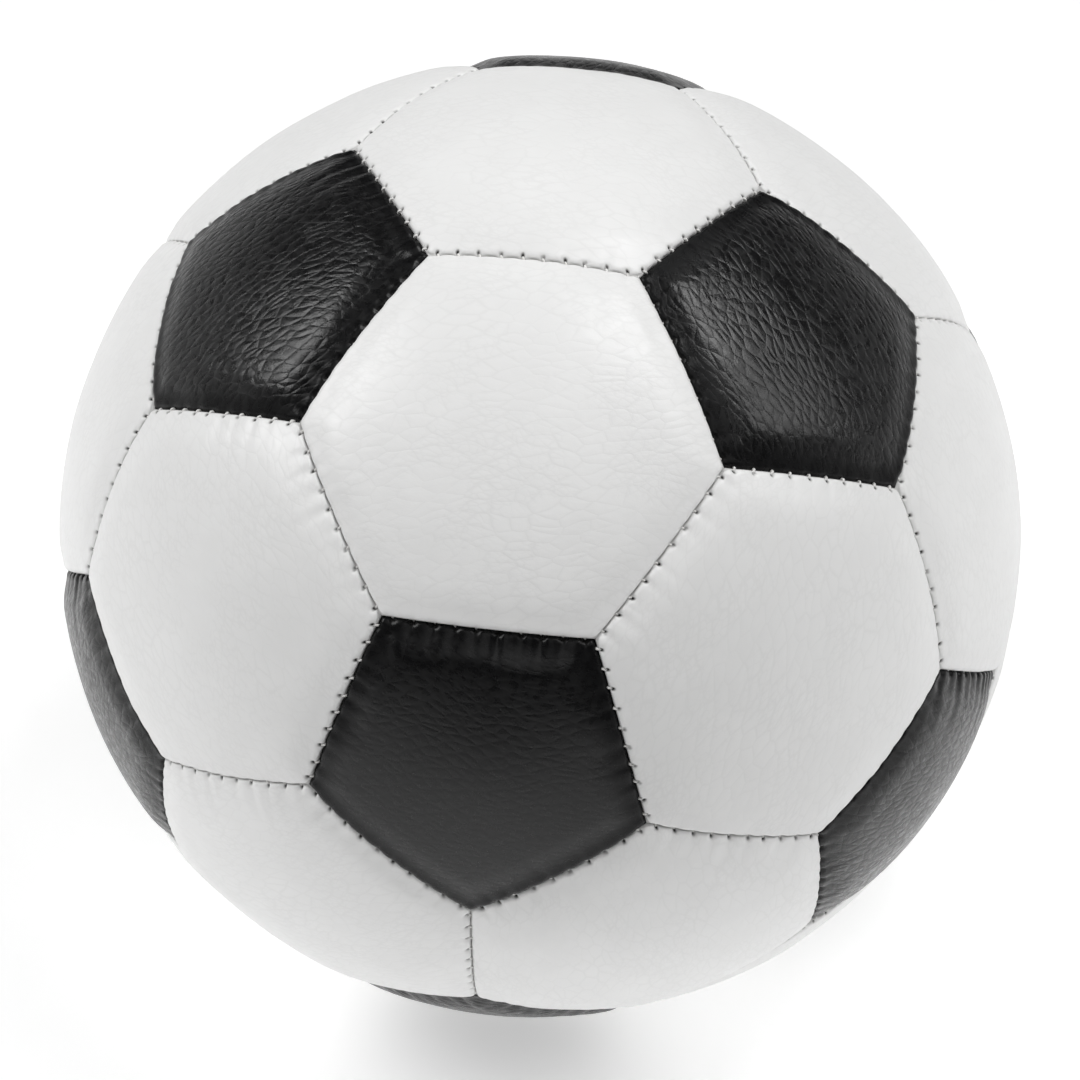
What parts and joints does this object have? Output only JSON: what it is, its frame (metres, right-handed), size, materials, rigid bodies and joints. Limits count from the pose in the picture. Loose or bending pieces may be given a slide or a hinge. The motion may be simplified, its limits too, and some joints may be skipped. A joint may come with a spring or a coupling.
{
  "type": "soccer ball",
  "caption": "Stitched ball of black pentagon and white hexagon leather panels sewn over an inflated rubber bladder with a needle valve.",
  "frame": {"origin": "the centre of the ball", "axes": "+Z leaves through the middle of a white hexagon; -Y, the front, looks at a second white hexagon 48 degrees above the horizontal with a black pentagon under it; +X is to the right of the front"},
  "size_m": [0.2184, 0.22, 0.22],
  "materials": {
    "white_leather": "semi-gloss coated white leather with fine grain",
    "black_leather": "semi-gloss coated black leather with fine grain",
    "seam_thread": "waxed polyester thread",
    "bladder_rubber": "matte butyl rubber dusted with talc",
    "valve_rubber": "smooth moulded rubber",
    "lining_cloth": "plain woven cotton lining"
  },
  "bodies": {
    "root": {"pentagon_panel_01": "black_leather", "pentagon_panel_02": "black_leather", "pentagon_panel_03": "black_leather", "pentagon_panel_04": "black_leather", "pentagon_panel_05": "black_leather", "pentagon_panel_06": "black_leather", "pentagon_panel_07": "black_leather", "pentagon_panel_08": "black_leather", "pentagon_panel_09": "black_leather", "pentagon_panel_10": "black_leather", "pentagon_panel_11": "black_leather", "pentagon_panel_12": "black_leather", "hexagon_panel_01": "white_leather", "hexagon_panel_02": "white_leather", "hexagon_panel_03": "white_leather", "hexagon_panel_04": "white_leather", "hexagon_panel_05": "white_leather", "hexagon_panel_06": "white_leather", "hexagon_panel_07": "white_leather", "hexagon_panel_08": "white_leather", "hexagon_panel_09": "white_leather", "hexagon_panel_10": "white_leather", "hexagon_panel_11": "white_leather", "hexagon_panel_12": "white_leather", "hexagon_panel_13": "white_leather", "hexagon_panel_14": "white_leather", "hexagon_panel_15": "white_leather", "hexagon_panel_16": "white_leather", "hexagon_panel_17": "white_leather", "hexagon_panel_18": "white_leather", "hexagon_panel_19": "white_leather", "valve_hexagon_panel": "white_leather", "seam_thread_01": "seam_thread", "seam_thread_02": "seam_thread", "seam_thread_03": "seam_thread", "seam_thread_04": "seam_thread", "seam_thread_05": "seam_thread", "seam_thread_06": "seam_thread", "seam_thread_07": "seam_thread", "seam_thread_08": "seam_thread", "seam_thread_09": "seam_thread", "seam_thread_10": "seam_thread", "seam_thread_11": "seam_thread", "seam_thread_12": "seam_thread", "bladder": "bladder_rubber", "valve_body": "valve_rubber", "valve_core": "valve_rubber", "bladder_valve_patch": "bladder_rubber", "panel_valve_patch": "lining_cloth"}
  },
  "joints": []
}
